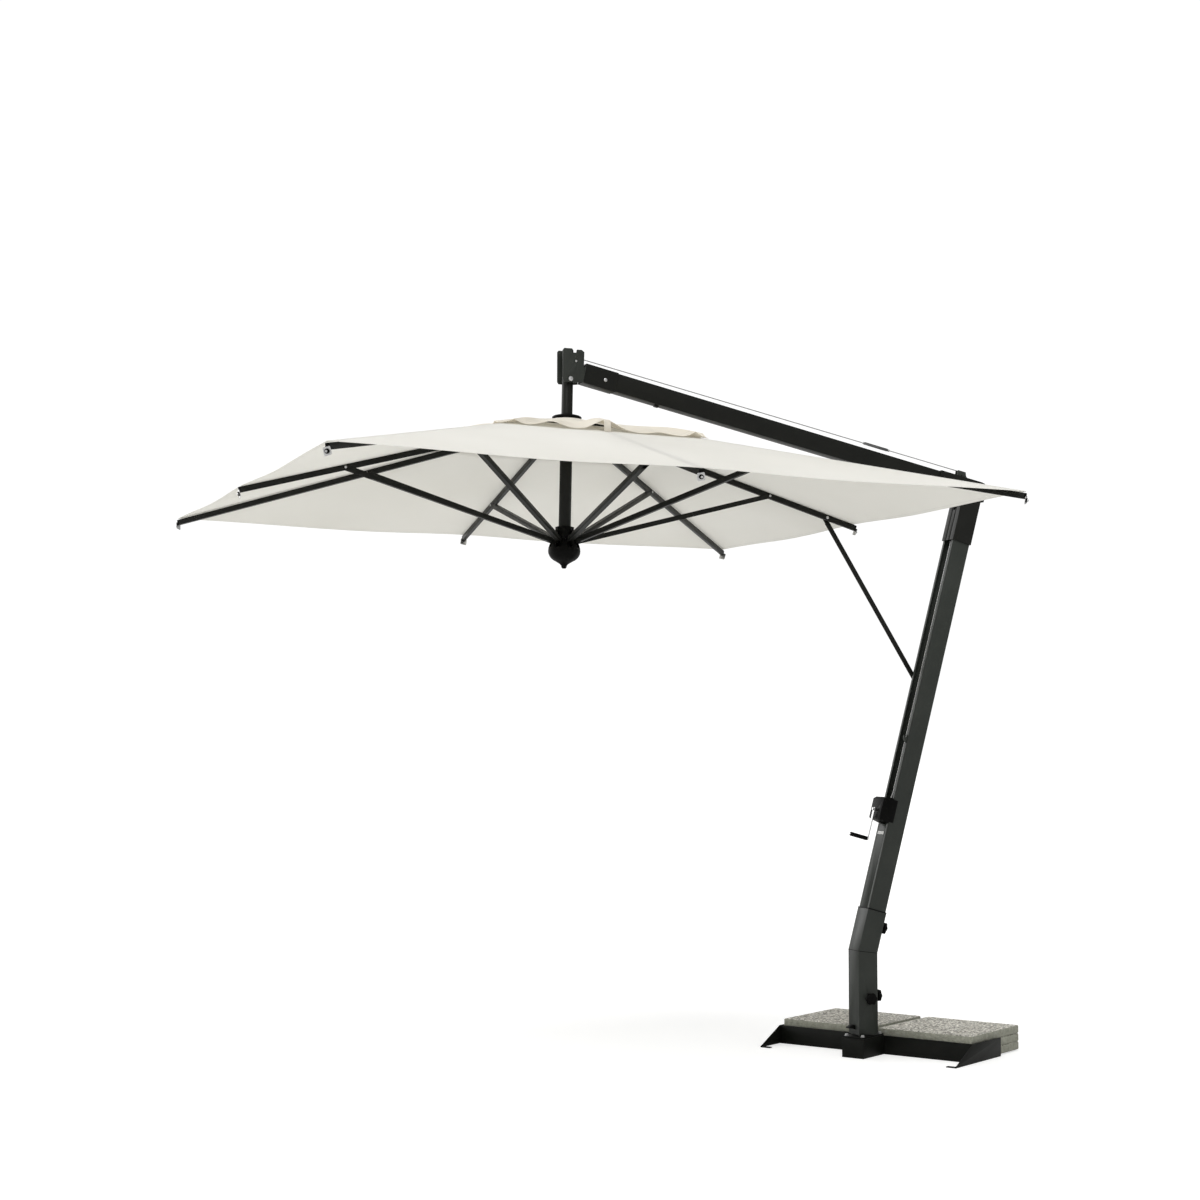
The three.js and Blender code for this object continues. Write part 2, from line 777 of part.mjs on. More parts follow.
// A side outline with both ends rounded about their pins, drawn from x = 0 to x = length.
function barOutline(length, half, nose) {
  const points = [];
  for (let a = 90; a <= 270; a += 30) {
    points.push([nose * Math.cos(a * DEG), nose * Math.sin(a * DEG)]);
  }
  points.push([22, -half], [length - 22, -half]);
  for (let a = -90; a <= 90; a += 30) {
    points.push([length + nose * Math.cos(a * DEG), nose * Math.sin(a * DEG)]);
  }
  points.push([length - 22, half], [22, half]);
  return points;
}

function rib(length) {
  const tube = tubeAlongX(-11, length, RIB_WIDTH, RIB_HEIGHT, RIB_WALL);
  return cut(tube, block([-12, -20, 6], [0, 20, 20]));
}

// Two cheeks joined by webs that stop short of the rib end, so the rib can fold in between them.
// Local +Z is the under side of the open parasol.
function stretcher(length) {
  const half = STRETCHER_HEIGHT / 2;
  const outline = barOutline(length, half, half + 0.5);
  const cheek = (FORK_WIDTH - FORK_GAP) / 2;
  const near = sidePlate(outline, -FORK_WIDTH / 2, cheek - FORK_WIDTH / 2);
  const far = sidePlate(outline, FORK_WIDTH / 2 - cheek, FORK_WIDTH / 2);
  const wide = FORK_WIDTH / 2 - 1;
  const underWeb = block([130, -wide, half - 2.5], [length - 26, wide, half]);
  const upperWeb = block([66, -wide, -half], [length - 26, wide, 2.5 - half]);
  return join(near, far, underWeb, upperWeb);
}

// Where one rib and its stretcher lie, in the canopy frame's radial plane.
function foldPlan(k) {
  const corner = k % 2 === 1;
  const slope = corner ? CORNER_SLOPE : MID_SLOPE;
  const reach = corner ? HALF * Math.SQRT2 : HALF + 9;
  const joint = (corner ? CORNER_JOINT : MID_JOINT) - RING;
  const jointZ = CROWN_Z - joint * Math.tan(slope);
  const midJoint = (MID_JOINT - RING) / Math.cos(MID_SLOPE);
  const ballPivotZ = CROWN_Z - 2 * midJoint * Math.sin(MID_SLOPE);
  return {
    slope,
    ribLength: (reach - RING) / Math.cos(slope),
    jointZ,
    jointR: joint + RING,
    drop: Math.atan2(jointZ - ballPivotZ, joint),
    length: Math.hypot(joint, jointZ - ballPivotZ),
  };
}

// Turns a bar drawn along +X to a pin in one radial plane, sloping down by an angle.
function placeBar(bar, k, radius, z, down) {
  const turn = (k * Math.PI) / 4;
  bar.position.set(radius * Math.cos(turn), radius * Math.sin(turn), z);
  bar.rotation.order = "ZYX";
  bar.rotation.set(0, down, turn);
}

function buildRibs() {
  for (let k = 0; k < 8; k++) {
    const plan = foldPlan(k);
    placeBar(mesh(`rib_${k + 1}`, rib(plan.ribLength), BLACK, canopyFrame), k, RING, CROWN_Z, plan.slope);
    const bar = mesh(`stretcher_${k + 1}`, stretcher(plan.length), BLACK, canopyFrame);
    placeBar(bar, k, plan.jointR, plan.jointZ, Math.PI - plan.drop);
  }
}

// A square ring of cloth: height(m, t) gives the underside, m the half side, t the place along a side.
function squareShell(height, halves, perSide, thickness) {
  const around = 4 * perSide;
  const rings = halves.length - 1;
  const positions = [];
  for (const lift of [0, thickness]) {
    for (const m of halves) {
      for (let i = 0; i < around; i++) {
        const t = (2 * (i % perSide)) / perSide - 1;
        const side = (Math.floor(i / perSide) * Math.PI) / 2;
        const x = m * Math.cos(side) - m * t * Math.sin(side);
        const y = m * Math.sin(side) + m * t * Math.cos(side);
        positions.push(x, y, height(m, t) + lift);
      }
    }
  }
  const layer = (rings + 1) * around;
  const at = (top, j, i) => top * layer + j * around + (i % around);
  const index = [];
  const quad = (a, b, c, d) => index.push(a, b, c, a, c, d);
  for (let i = 0; i < around; i++) {
    for (let j = 0; j < rings; j++) {
      quad(at(1, j, i), at(1, j + 1, i), at(1, j + 1, i + 1), at(1, j, i + 1));
      quad(at(0, j, i), at(0, j, i + 1), at(0, j + 1, i + 1), at(0, j + 1, i));
    }
    quad(at(0, rings, i), at(0, rings, i + 1), at(1, rings, i + 1), at(1, rings, i));
    quad(at(0, 0, i), at(1, 0, i), at(1, 0, i + 1), at(0, 0, i + 1));
  }
  const geometry = new THREE.BufferGeometry();
  geometry.setAttribute("position", new THREE.BufferAttribute(new Float32Array(positions), 3));
  geometry.setIndex(index);
  return solid(geometry);
}

const clothHeight = (m) => CROWN_Z + FABRIC_LIFT + (RING - m) * Math.tan(MID_SLOPE);

function canopy() {
  return squareShell(clothHeight, [OPENING_HALF, HALF + 8], 2, FABRIC);
}

// The vent lies on the cloth at its four corners and stands off it between them.
function vent() {
  const top = CROWN_Z + 19.6;
  const corner = clothHeight(VENT_HALF) + FABRIC + 2.5;
  const height = (m, t) => {
    if (m <= 72) return top;
    const out = (m - 72) / (VENT_HALF - 72);
    const loft = 42 * out * out * (1 - t * t);
    return top + (corner - top) * out + loft;
  };
  return squareShell(height, [30, 72, 156, 240, 325, 410, VENT_HALF], 6, 1.2);
}

// ---------------------------------------------------------------- strut and drop cable
// Strut end points: on the mast-side rib, and on the far side of the mast.
function strutEnds() {
  parasol.updateMatrixWorld(true);
  const z = CROWN_Z - (STRUT_RADIUS - RING) * Math.tan(MID_SLOPE);
  const upper = new THREE.Vector3(STRUT_RADIUS, STRUT_UPPER_Y, z).applyMatrix4(canopyFrame.matrixWorld);
  const lower = new THREE.Vector3(0, STRUT_LOWER_Y, STRUT_PIVOT_Z).applyMatrix4(mastFrame.matrixWorld);
  return [lower, upper];
}

function strut() {
  const [lower, upper] = strutEnds();
  const length = lower.distanceTo(upper);
  const tube = rod("z", [0, 0, length / 2], STRUT_TUBE_R, length - 56, 14);
  const bore = rod("z", [0, 0, length / 2], STRUT_TUBE_R - 2, length - 100, 14);
  const lug = (z) => block([-10, -3, z], [10, 3, z + 62]);
  const body = join(tube, lug(-9), lug(length - 53));
  const drain = rod("x", [0, 0, 120], 2, 40, 8);
  const geometry = geometryOf(cut(body, bore, drain));
  const direction = upper.clone().sub(lower).normalize();
  const across = new THREE.Vector3(0, 1, 0);
  const side = across.clone().sub(direction.clone().multiplyScalar(across.dot(direction))).normalize();
  const third = side.clone().cross(direction);
  geometry.applyMatrix4(new THREE.Matrix4().makeBasis(third, side, direction));
  geometry.translate(lower.x, lower.y, lower.z);
  const holes = [lower, upper].map((end) => rod("y", [end.x, end.y, end.z], 4.6, 30, 12));
  return cut(solid(geometry), ...holes);
}

function strutPin() {
  const [lower] = strutEnds();
  const start = MAST / 2 - 10;
  const end = STRUT_LOWER_Y + 9;
  return join(
    rod("y", [lower.x, (start + end) / 2, lower.z], 4.2, end - start, 12),
    rod("y", [lower.x, MAST / 2 + 5, lower.z], 10, 9, 12),
    rod("y", [lower.x, end - 1, lower.z], 8, 5, 12),
  );
}

const dropStrand = (x) => rod("z", [x, 0, 251], CABLE_R, 678, 10);

function buildCanopy() {
  mesh("canopy_post", canopyPost(), BLACK, canopyFrame);
  mesh("crown_hub", crownHub(), PLASTIC, canopyFrame);
  mesh("top_disc", topDisc(), PLASTIC, canopyFrame);
  mesh("runner_ball", runnerBall(), PLASTIC, canopyFrame);
  buildRibs();
  mesh("canopy", canopy(), CLOTH, canopyFrame);
  mesh("vent", vent(), CLOTH, canopyFrame);
  mesh("strut", strut(), BLACK, parasol);
  mesh("strut_pin", strutPin(), STEEL, parasol);
  mesh("drop_cable", dropStrand(-5), STEEL, canopyFrame);
  mesh("drop_cable_upper", dropStrand(5), STEEL, canopyFrame);
}

buildBase();
buildMast();
buildArm();
buildCanopy();

export default parasol;
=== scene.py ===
import json
import math

import bpy
from mathutils import Matrix, Vector, noise


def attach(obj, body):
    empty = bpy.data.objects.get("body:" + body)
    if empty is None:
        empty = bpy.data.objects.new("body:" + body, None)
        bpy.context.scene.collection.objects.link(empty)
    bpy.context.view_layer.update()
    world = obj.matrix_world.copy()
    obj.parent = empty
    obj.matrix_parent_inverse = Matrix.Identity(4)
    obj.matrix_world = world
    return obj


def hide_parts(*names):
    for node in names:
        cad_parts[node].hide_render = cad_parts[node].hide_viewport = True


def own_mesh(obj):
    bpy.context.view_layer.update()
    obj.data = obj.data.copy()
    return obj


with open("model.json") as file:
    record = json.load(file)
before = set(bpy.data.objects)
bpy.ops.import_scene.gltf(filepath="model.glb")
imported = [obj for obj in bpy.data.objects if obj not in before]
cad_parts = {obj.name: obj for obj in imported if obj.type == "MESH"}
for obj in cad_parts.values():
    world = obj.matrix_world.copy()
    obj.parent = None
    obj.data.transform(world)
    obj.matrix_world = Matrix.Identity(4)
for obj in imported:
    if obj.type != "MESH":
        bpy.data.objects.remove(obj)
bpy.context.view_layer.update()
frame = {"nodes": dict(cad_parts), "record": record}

DEG = math.pi / 180

# Frames of the canopy, the mast above its bend, the arm and the base.
CANOPY_TILT, MAST_LEAN, ARM_SLOPE, BASE_TURN = 1.1 * DEG, 15.3 * DEG, 12.3 * DEG, -59 * DEG
BEND_HEIGHT = 0.497
CANOPY = Matrix.Translation((-1.5374, 0, 2.571)) @ Matrix.Rotation(CANOPY_TILT, 4, "Y")
MAST = Matrix.Translation((0, 0, BEND_HEIGHT)) @ Matrix.Rotation(MAST_LEAN, 4, "Y")
ARM = Matrix.Translation((-1.453, 0, 3.211)) @ Matrix.Rotation(ARM_SLOPE, 4, "Y")
BASE = Matrix.Rotation(BASE_TURN, 4, "Z")

# Distances from the canopy's middle: rib pivots, stretcher joints and the strut's joint on rib_1.
RING, JOINT, STRUT = 0.055, 1.045, 1.357
CROWN_Z = 0.405
# Slopes of the ribs to the sides' middles and to the corners.
MID, CORNER = 15.5 * DEG, 11.09 * DEG
# Half widths of the canopy, of its opening, of the vent and of the hub that the vent meets.
HEM, OPENING, VENT, HUB = 1.506, 0.31, 0.497, 0.0695
CLOTH_Z = CROWN_Z + 0.0165
CLOTH_THICKNESS, VENT_THICKNESS = 0.0012, 0.0011


# ------------------------------------------------------------------ materials
def new_material(name):
    made = bpy.data.materials.new(name)
    made.use_nodes = True
    tree = made.node_tree
    shader = tree.nodes["Principled BSDF"]
    return made, tree, shader


def coordinates(tree, scale=(1, 1, 1)):
    source = tree.nodes.new("ShaderNodeTexCoord")
    mapping = tree.nodes.new("ShaderNodeMapping")
    mapping.inputs["Scale"].default_value = scale
    tree.links.new(source.outputs["Object"], mapping.inputs["Vector"])
    return mapping.outputs["Vector"]


def noise_of(tree, vector, scale, detail=4.0, roughness=0.5):
    node = tree.nodes.new("ShaderNodeTexNoise")
    node.inputs["Scale"].default_value = scale
    node.inputs["Detail"].default_value = detail
    node.inputs["Roughness"].default_value = roughness
    tree.links.new(vector, node.inputs["Vector"])
    return node.outputs["Fac"]


def ramp(tree, factor, stops):
    node = tree.nodes.new("ShaderNodeValToRGB")
    elements = node.color_ramp.elements
    while len(elements) < len(stops):
        elements.new(0.5)
    for element, (at, colour) in zip(elements, stops):
        element.position = at
        element.color = (*colour, 1)
    tree.links.new(factor, node.inputs["Fac"])
    return node.outputs["Color"]


def bump(tree, shader, height, strength, distance):
    node = tree.nodes.new("ShaderNodeBump")
    node.inputs["Strength"].default_value = strength
    node.inputs["Distance"].default_value = distance
    tree.links.new(height, node.inputs["Height"])
    tree.links.new(node.outputs["Normal"], shader.inputs["Normal"])


def coated(name, dark, light, roughness, sheen, grain, depth):
    """A painted or moulded surface: slow tone change, fine grain."""
    made, tree, shader = new_material(name)
    vector = coordinates(tree)
    slow = noise_of(tree, vector, 6.0, 3.0)
    fine = noise_of(tree, vector, grain, 2.0)
    tree.links.new(ramp(tree, slow, [(0.3, dark), (0.7, light)]), shader.inputs["Base Color"])
    tone = ramp(tree, fine, [(0.2, (roughness - 0.06,) * 3), (0.8, (roughness + 0.06,) * 3)])
    tree.links.new(tone, shader.inputs["Roughness"])
    shader.inputs["Specular IOR Level"].default_value = sheen
    bump(tree, shader, fine, 0.25, depth)
    return made


def steel_material(name, stretch, low, high):
    made, tree, shader = new_material(name)
    fine = noise_of(tree, coordinates(tree, stretch), 60.0, 3.0)
    tree.links.new(ramp(tree, fine, [(0.2, (low,) * 3), (0.8, (high,) * 3)]), shader.inputs["Base Color"])
    tree.links.new(ramp(tree, fine, [(0.2, (0.22,) * 3), (0.8, (0.38,) * 3)]), shader.inputs["Roughness"])
    shader.inputs["Metallic"].default_value = 1.0
    bump(tree, shader, fine, 0.1, 0.0003)
    return made


def strand_material():
    """Bright wire rope: the lay of its strands shows as fine slanting bands."""
    made, tree, shader = new_material("wire_rope")
    wave = tree.nodes.new("ShaderNodeTexWave")
    wave.inputs["Scale"].default_value = 90.0
    wave.inputs["Distortion"].default_value = 0.6
    tree.links.new(coordinates(tree, (1, 0.4, 0.6)), wave.inputs["Vector"])
    colour = ramp(tree, wave.outputs["Fac"], [(0.1, (0.3,) * 3), (0.7, (0.72,) * 3)])
    tree.links.new(colour, shader.inputs["Base Color"])
    shader.inputs["Metallic"].default_value = 0.9
    shader.inputs["Roughness"].default_value = 0.35
    bump(tree, shader, wave.outputs["Fac"], 0.5, 0.0006)
    return made


def attribute_line(tree, name, at, width):
    """1 on a line where a mesh attribute is near a value, else 0."""
    source = tree.nodes.new("ShaderNodeAttribute")
    source.attribute_name = name
    compare = tree.nodes.new("ShaderNodeMath")
    compare.operation = "COMPARE"
    compare.inputs[1].default_value = at
    compare.inputs[2].default_value = width
    tree.links.new(source.outputs["Fac"], compare.inputs[0])
    return compare.outputs["Value"]


def cloth_material(name, pale, shade, through):
    """Woven cloth with hem and rib seams, and some light coming through."""
    made, tree, shader = new_material(name)
    vector = coordinates(tree)
    slow = noise_of(tree, vector, 1.6, 3.0)
    weave = noise_of(tree, coordinates(tree, (1, 1, 0.2)), 900.0, 1.0)
    colour = ramp(tree, slow, [(0.25, shade), (0.75, pale)])
    lines = None
    for attribute, at, width in (("hem", 0.022, 0.0012), ("hem", 0.006, 0.0012), ("seam", 0.012, 0.001)):
        line = attribute_line(tree, attribute, at, width)
        if lines is None:
            lines = line
            continue
        add = tree.nodes.new("ShaderNodeMath")
        add.operation = "MAXIMUM"
        tree.links.new(lines, add.inputs[0])
        tree.links.new(line, add.inputs[1])
        lines = add.outputs["Value"]
    mix = tree.nodes.new("ShaderNodeMix")
    mix.data_type = "RGBA"
    tree.links.new(lines, mix.inputs["Factor"])
    tree.links.new(colour, mix.inputs[6])
    mix.inputs[7].default_value = (*[c * 0.88 for c in shade], 1)
    tree.links.new(mix.outputs[2], shader.inputs["Base Color"])
    shader.inputs["Roughness"].default_value = 0.88
    shader.inputs["Sheen Weight"].default_value = 0.15
    bump(tree, shader, weave, 0.2, 0.0004)
    glow = tree.nodes.new("ShaderNodeBsdfTranslucent")
    tree.links.new(mix.outputs[2], glow.inputs["Color"])
    blend = tree.nodes.new("ShaderNodeMixShader")
    blend.inputs["Fac"].default_value = through
    output = tree.nodes["Material Output"]
    tree.links.new(shader.outputs["BSDF"], blend.inputs[1])
    tree.links.new(glow.outputs["BSDF"], blend.inputs[2])
    tree.links.new(blend.outputs["Shader"], output.inputs["Surface"])
    return made


def slab_material():
    """Washed concrete: pebbles on the upward face, cement on the sides."""
    made, tree, shader = new_material("washed_concrete")
    vector = coordinates(tree)
    cells = tree.nodes.new("ShaderNodeTexVoronoi")
    cells.inputs["Scale"].default_value = 105.0
    tree.links.new(vector, cells.inputs["Vector"])
    pick = tree.nodes.new("ShaderNodeSeparateColor")
    tree.links.new(cells.outputs["Color"], pick.inputs["Color"])
    tones = [
        (0.0, (0.05, 0.05, 0.045)),
        (0.3, (0.3, 0.29, 0.25)),
        (0.5, (0.6, 0.57, 0.5)),
        (1.0, (0.93, 0.91, 0.84)),
    ]
    pebble = ramp(tree, pick.outputs["Red"], tones)
    rim = ramp(tree, cells.outputs["Distance"], [(0.45, (1, 1, 1)), (0.75, (0, 0, 0))])
    shaded = tree.nodes.new("ShaderNodeMix")
    shaded.data_type = "RGBA"
    tree.links.new(rim, shaded.inputs["Factor"])
    shaded.inputs[6].default_value = (0.34, 0.33, 0.29, 1)
    tree.links.new(pebble, shaded.inputs[7])
    cement = ramp(
        tree,
        noise_of(tree, vector, 45.0, 6.0, 0.65),
        [(0.25, (0.20, 0.205, 0.165)), (0.75, (0.37, 0.37, 0.305))],
    )
    normal = tree.nodes.new("ShaderNodeNewGeometry")
    split = tree.nodes.new("ShaderNodeSeparateXYZ")
    tree.links.new(normal.outputs["Normal"], split.inputs["Vector"])
    upward = tree.nodes.new("ShaderNodeMath")
    upward.operation = "GREATER_THAN"
    upward.inputs[1].default_value = 0.8
    tree.links.new(split.outputs["Z"], upward.inputs[0])
    face = tree.nodes.new("ShaderNodeMix")
    face.data_type = "RGBA"
    tree.links.new(upward.outputs["Value"], face.inputs["Factor"])
    tree.links.new(cement, face.inputs[6])
    tree.links.new(shaded.outputs[2], face.inputs[7])
    tree.links.new(face.outputs[2], shader.inputs["Base Color"])
    shader.inputs["Roughness"].default_value = 0.9
    bump(tree, shader, rim, 0.6, 0.003)
    return made


COAT = coated("powder_coat", (0.022, 0.0255, 0.0215), (0.029, 0.033, 0.028), 0.44, 0.27, 1400.0, 0.0004)
# Painted shade: a darker copy of the mast's powder coat, for the ribs, stretchers, canopy post, strut and
# arm parts.
SHADED_COAT = coated("rib_coat", (0.006, 0.0065, 0.005), (0.010, 0.0105, 0.0085), 0.42, 0.16, 1400.0, 0.0004)
BASE_COAT = coated("base_coat", (0.004, 0.0045, 0.0035), (0.007, 0.0075, 0.006), 0.45, 0.13, 1300.0, 0.0004)
BLACK = coated("moulded_black", (0.0015, 0.0015, 0.0013), (0.003, 0.003, 0.0026), 0.45, 0.07, 900.0, 0.0003)
STEEL = steel_material("bright_steel", (1, 1, 6), 0.42, 0.66)
DULL_STEEL = steel_material("dull_steel", (1, 1, 3), 0.10, 0.20)
ROPE = strand_material()
CLOTH = cloth_material("canopy_cloth", (0.9, 0.891, 0.855), (0.86, 0.85, 0.808), 0.42)
VENT_CLOTH = cloth_material("vent_cloth", (0.92, 0.89, 0.82), (0.88, 0.84, 0.75), 0.42)
SLAB = slab_material()
PALE = coated("pale_plate", (0.5, 0.5, 0.49), (0.6, 0.6, 0.58), 0.4, 0.4, 700.0, 0.0001)
BY_SLOT = {
    "mast_aluminium": COAT,
    "base_steel": BASE_COAT,
    "black_plastic": BLACK,
    "steel": STEEL,
    "canvas": CLOTH,
    "slab": SLAB,
}


# ------------------------------------------------------------------ building pieces
def soften(piece, width, segments=2):
    edge = piece.modifiers.new("edge", "BEVEL")
    edge.width = width
    edge.segments = segments
    edge.limit_method = "ANGLE"
    edge.angle_limit = 35 * DEG
    edge.harden_normals = True


def smooth(piece, angle=40):
    for polygon in piece.data.polygons:
        polygon.use_smooth = True
    bpy.context.view_layer.objects.active = piece
    piece.select_set(True)
    bpy.ops.object.shade_smooth_by_angle(angle=angle * DEG)
    piece.select_set(False)


def piece(name, vertices, faces, material, body, slot, bevel=0.0, angle=40):
    data = bpy.data.meshes.new(name)
    data.from_pydata([tuple(v) for v in vertices], [], faces)
    data.update()
    made = bpy.data.objects.new(name, data)
    bpy.context.scene.collection.objects.link(made)
    made.data.materials.append(material)
    smooth(made, angle)
    if bevel:
        soften(made, bevel)
    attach(made, body)
    return made


def turned(profile, sides, matrix):
    """Vertices and faces of a closed turned piece about the matrix's Z, from (radius, z) points."""
    vertices, faces = [], []
    for radius, z in profile:
        for i in range(sides):
            a = 2 * math.pi * i / sides
            vertices.append(matrix @ Vector((radius * math.cos(a), radius * math.sin(a), z)))
    for j in range(len(profile) - 1):
        for i in range(sides):
            n = (i + 1) % sides
            faces.append((j * sides + i, j * sides + n, (j + 1) * sides + n, (j + 1) * sides + i))
    faces.append(tuple(reversed(range(sides))))
    last = (len(profile) - 1) * sides
    faces.append(tuple(range(last, last + sides)))
    return vertices, faces


def prism(outline, low, high, matrix):
    """Vertices and faces of an outline in the matrix's XY plane, between two heights."""
    n = len(outline)
    vertices = [matrix @ Vector((x, y, low)) for x, y in outline]
    vertices += [matrix @ Vector((x, y, high)) for x, y in outline]
    faces = [tuple(reversed(range(n))), tuple(range(n, 2 * n))]
    faces += [(i, (i + 1) % n, n + (i + 1) % n, n + i) for i in range(n)]
    return vertices, faces


def facing(origin, direction):
    """A matrix whose Z points along a direction, at an origin."""
    turn = Vector(direction).to_track_quat("Z", "Y").to_matrix().to_4x4()
    return Matrix.Translation(origin) @ turn


def dome(name, at, direction, radius, height, body):
    """A bright rivet head."""
    profile = [(radius, 0), (radius, height * 0.35), (radius * 0.8, height * 0.8), (radius * 0.4, height)]
    shape = turned(profile, 20, facing(at, direction))
    return piece(name, *shape, STEEL, body, "steel")


def hexagon(radius):
    return [(radius * math.cos(i * math.pi / 3), radius * math.sin(i * math.pi / 3)) for i in range(6)]


def bolt(name, at, direction, radius, height, body):
    """A hexagon head on a washer."""
    matrix = facing(at, direction)
    washer = turned([(radius * 1.35, 0), (radius * 1.35, 0.0018), (radius * 1.2, 0.0022)], 24, matrix)
    piece(f"{name}_washer", *washer, STEEL, body, "steel")
    head = prism(hexagon(radius), 0.0023, height, matrix)
    piece(f"{name}_head", *head, STEEL, body, "steel", bevel=0.0007)


# ------------------------------------------------------------------ canopy frames
def radial(k):
    return CANOPY @ Matrix.Rotation(k * math.pi / 4, 4, "Z")


def rib_frame(k):
    slope = CORNER if k % 2 else MID
    return radial(k) @ Matrix.Translation((RING, 0, CROWN_Z)) @ Matrix.Rotation(slope, 4, "Y")


def rib_length(k):
    reach, slope = (1.5 * math.sqrt(2), CORNER) if k % 2 else (1.509, MID)
    return (reach - RING) / math.cos(slope)


def joint_point(k):
    slope = CORNER if k % 2 else MID
    return Vector((JOINT, 0, CROWN_Z - (JOINT - RING) * math.tan(slope)))


# ------------------------------------------------------------------ cloth
def square_point(m, angle):
    reach = m / max(abs(math.cos(angle)), abs(math.sin(angle)))
    return reach * math.cos(angle), reach * math.sin(angle)


def side_place(x, y):
    """-1 to 1 along the side of the square that a point's sector belongs to, 0 at its middle."""
    small, large = sorted((abs(x), abs(y)))
    return small / large if large else 0.0


def canopy_height(m, angle):
    """Underside of the cloth. It hangs a little between the ribs and ripples faintly near the crown."""
    x, y = square_point(m, angle)
    between = math.sin(4 * angle) ** 2
    hang = -0.011 * between * (m / HEM) ** 1.5
    ripple = 0.0025 * between * noise.noise(Vector((x * 2.1, y * 2.1, 3.0)))
    return CLOTH_Z + (RING - m) * math.tan(MID) + hang + ripple


def hem_lift(t, side, turn):
    """How far the vent's edge stands off the canopy: loose bumps between its seams."""
    vary = 1 + 0.18 * math.sin(2.3 * turn + side)
    small = (0.018, 0.018) if side > 0 else (0.012, 0.028)
    bumps = ((0.0, 0.15, 0.046), (0.52, 0.12, small[0] * vary), (0.87, 0.06, small[1] * vary))
    lift = sum(high * math.exp(-(((t - at) / wide) ** 2)) for at, wide, high in bumps)
    return lift * min(1.0, 12 * (1 - t))


def vent_point(m, angle):
    """The vent is round where it meets the hub and square at its edge."""
    square = min(1.0, (m - HUB) / 0.14)
    x, y = square_point(m, angle)
    return m * math.cos(angle) * (1 - square) + x * square, m * math.sin(angle) * (1 - square) + y * square


def vent_height(m, angle):
    """The vent lies on the canopy at its corners and stands off it, in loose waves, between them."""
    x, y = square_point(m, angle)
    t = side_place(x, y)
    top = CROWN_Z + 0.0155
    out = (m - HUB) / (VENT - HUB)
    corner = CLOTH_Z + (RING - VENT) * math.tan(MID) + 0.0045
    rise = min(1.0, max(0.0, (out - 0.25) / 0.6))
    rise = rise * rise * (3 - 2 * rise)
    side = 1 if x * y > 0 else -1
    wave = hem_lift(t, side, round(angle / (math.pi / 2)))
    ripple = 0.003 * out * noise.noise(Vector((x * 9, y * 9, 5.0)))
    return top + (corner - top) * out + wave * rise + ripple * min(1.0, 12 * (1 - t))


def cloth_sector(name, k, place, height, rings, columns, thickness, material):
    """One of eight pieces of a square sheet, 45 degrees wide about a rib."""
    data = bpy.data.meshes.new(name)
    vertices, hem, seam = [], [], []
    half = math.pi / 8
    for top in (1, 0):
        for m in rings:
            for i in range(columns + 1):
                a = half * (2 * i / columns - 1)
                angle = k * math.pi / 4 + a
                x, y = place(m, angle)
                vertices.append(CANOPY @ Vector((x, y, height(m, angle) + top * thickness)))
                hem.append(rings[-1] - m)
                seam.append(abs(math.hypot(x, y) * math.sin(a)))
    row = columns + 1
    layer = row * len(rings)
    faces = []
    for j in range(len(rings) - 1):
        for i in range(columns):
            a, b, c, d = j * row + i, (j + 1) * row + i, (j + 1) * row + i + 1, j * row + i + 1
            faces.append((a, b, c, d))
            faces.append((layer + d, layer + c, layer + b, layer + a))
    for i in range(columns):
        a, b = i, i + 1
        faces.append((a, b, layer + b, layer + a))
        a, b = (len(rings) - 1) * row + i, (len(rings) - 1) * row + i + 1
        faces.append((b, a, layer + a, layer + b))
    for j in range(len(rings) - 1):
        a, b = j * row, (j + 1) * row
        faces.append((b, a, layer + a, layer + b))
        a, b = j * row + columns, (j + 1) * row + columns
        faces.append((a, b, layer + b, layer + a))
    data.from_pydata([tuple(v) for v in vertices], [], faces)
    data.update()
    for label, values in (("hem", hem), ("seam", seam)):
        data.attributes.new(label, "FLOAT", "POINT").data.foreach_set("value", values)
    made = bpy.data.objects.new(name, data)
    bpy.context.scene.collection.objects.link(made)
    made.data.materials.append(material)
    smooth(made, 35)
    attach(made, f"rib_{k + 1}")
    return made


def spaced(low, high, count):
    return [low + (high - low) * i / count for i in range(count + 1)]


def hang_cloth(made, node):
    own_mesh(made)
    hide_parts(node)


def build_cloth():
    outer = spaced(OPENING, HEM - 0.03, 26) + [HEM - 0.022, HEM - 0.014, HEM - 0.006, HEM]
    inner = spaced(HUB, VENT - 0.03, 16) + [VENT - 0.022, VENT - 0.012, VENT]
    for k in range(8):
        made = cloth_sector(
            f"canopy_panel_{k + 1}", k, square_point, canopy_height, outer, 18, CLOTH_THICKNESS, CLOTH
        )
        hang_cloth(made, "canopy")
        flap = cloth_sector(
            f"vent_panel_{k + 1}", k, vent_point, vent_height, inner, 22, VENT_THICKNESS, VENT_CLOTH
        )
        hang_cloth(flap, "vent")


